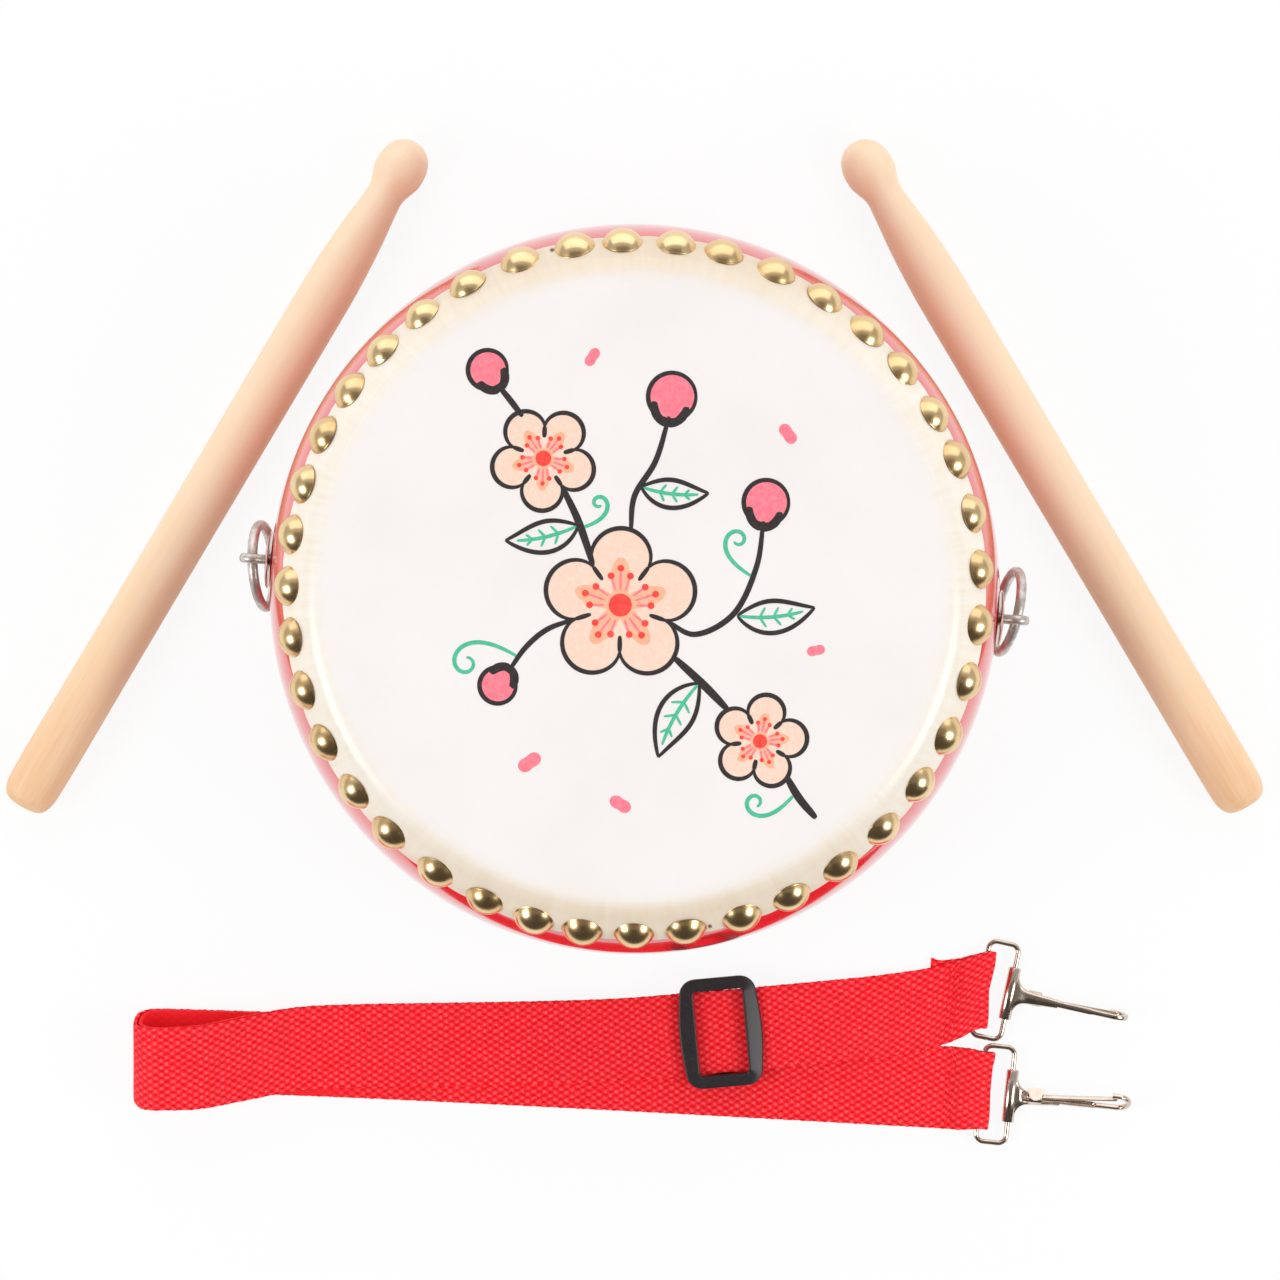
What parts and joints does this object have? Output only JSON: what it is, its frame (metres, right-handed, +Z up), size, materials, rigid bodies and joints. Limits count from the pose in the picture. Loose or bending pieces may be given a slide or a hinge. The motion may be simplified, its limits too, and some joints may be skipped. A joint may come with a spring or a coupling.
{
  "type": "toy drum with sticks and strap",
  "caption": "Low barrel drum with tacked hide heads and carrying rings, lying with its turned wooden sticks and a folded webbing strap that has a slider and snap hooks.",
  "frame": {"origin": "centre of the bottom head, on the surface that the drum stands on", "axes": "+Z up along the drum's axis, +X to the right as in the picture, +Y towards the beads of the sticks"},
  "size_m": [0.3822, 0.3056, 0.08],
  "materials": {
    "red_lacquer": "glossy red lacquer on wood",
    "hide": "matt white hide, cream where it rolls over the rim",
    "brass": "polished domed heads",
    "nickel": "nickel-plated steel",
    "pale_wood": "smooth sanded wood",
    "red_webbing": "woven polypropylene webbing",
    "black_plastic": "satin black plastic"
  },
  "bodies": {
    "drum": {"drum_shell": "red_lacquer", "top_head": "hide", "bottom_head": "hide", "top_tacks": "brass", "bottom_tacks": "brass", "left_ring_plate": "nickel", "right_ring_plate": "nickel", "left_ring_pin": "nickel", "right_ring_pin": "nickel"},
    "left_ring": {"left_carry_ring": "nickel"},
    "right_ring": {"right_carry_ring": "nickel"},
    "left_stick": {"left_drumstick": "pale_wood"},
    "right_stick": {"right_drumstick": "pale_wood"},
    "strap": {"strap_webbing": "red_webbing"},
    "slider": {"strap_slider": "black_plastic"},
    "upper_loop": {"upper_hook_loop": "nickel"},
    "upper_hook": {"upper_hook_body": "nickel", "upper_hook_collar": "nickel"},
    "upper_gate": {"upper_hook_gate": "nickel"},
    "lower_loop": {"lower_hook_loop": "nickel"},
    "lower_hook": {"lower_hook_body": "nickel", "lower_hook_collar": "nickel"},
    "lower_gate": {"lower_hook_gate": "nickel"}
  },
  "joints": [
    {"name": "left_ring_swing", "type": "hinge", "parent": "drum", "child": "left_ring", "pos_m": [-0.11293, 0.00909, 0.04], "axis": [-0.0593, 0.9982, 0], "range_deg": [-4, 204]},
    {"name": "right_ring_swing", "type": "hinge", "parent": "drum", "child": "right_ring", "pos_m": [0.11293, -0.00909, 0.04], "axis": [-0.2181, -0.9759, 0], "range_deg": [-4, 204]},
    {"name": "left_stick_lift", "type": "slide", "parent": "drum", "child": "left_stick", "axis": [0, 0, 1], "range_m": [0, 0.12]},
    {"name": "right_stick_lift", "type": "slide", "parent": "drum", "child": "right_stick", "axis": [0, 0, 1], "range_m": [0, 0.12]},
    {"name": "strap_lift", "type": "slide", "parent": "drum", "child": "strap", "axis": [0, 0, 1], "range_m": [0, 0.12]},
    {"name": "slider_slide", "type": "slide", "parent": "strap", "child": "slider", "axis": [0.9959, 0.0906, 0], "range_m": [0, 0.02]},
    {"name": "upper_loop_swing", "type": "hinge", "parent": "strap", "child": "upper_loop", "pos_m": [0.1052, -0.12064, 0.00255], "axis": [-0.2079, -0.9781, 0], "range_deg": [0, 60]},
    {"name": "upper_hook_swing", "type": "hinge", "parent": "upper_loop", "child": "upper_hook", "pos_m": [0.1142, -0.12255, 0.00255], "axis": [-0.2079, -0.9781, 0], "range_deg": [0, 90]},
    {"name": "upper_gate_open", "type": "hinge", "parent": "upper_hook", "child": "upper_gate", "pos_m": [0.12169, -0.124, 0.00261], "axis": [-0.1873, -0.9769, -0.1026], "range_deg": [0, 9], "stiffness_Nm_per_rad": 0.02, "springref_deg": -8.59},
    {"name": "lower_loop_swing", "type": "hinge", "parent": "strap", "child": "lower_loop", "pos_m": [0.1052, -0.1528, 0.00255], "axis": [-0.1045, -0.9945, 0], "range_deg": [0, 60]},
    {"name": "lower_hook_swing", "type": "hinge", "parent": "lower_loop", "child": "lower_hook", "pos_m": [0.11435, -0.15376, 0.00255], "axis": [-0.1045, -0.9945, 0], "range_deg": [0, 90]},
    {"name": "lower_gate_open", "type": "hinge", "parent": "lower_hook", "child": "lower_gate", "pos_m": [0.12183, -0.1538, 0.00408], "axis": [0.1126, 0.8409, -0.5294], "range_deg": [0, 9], "stiffness_Nm_per_rad": 0.02, "springref_deg": -8.59}
  ]
}
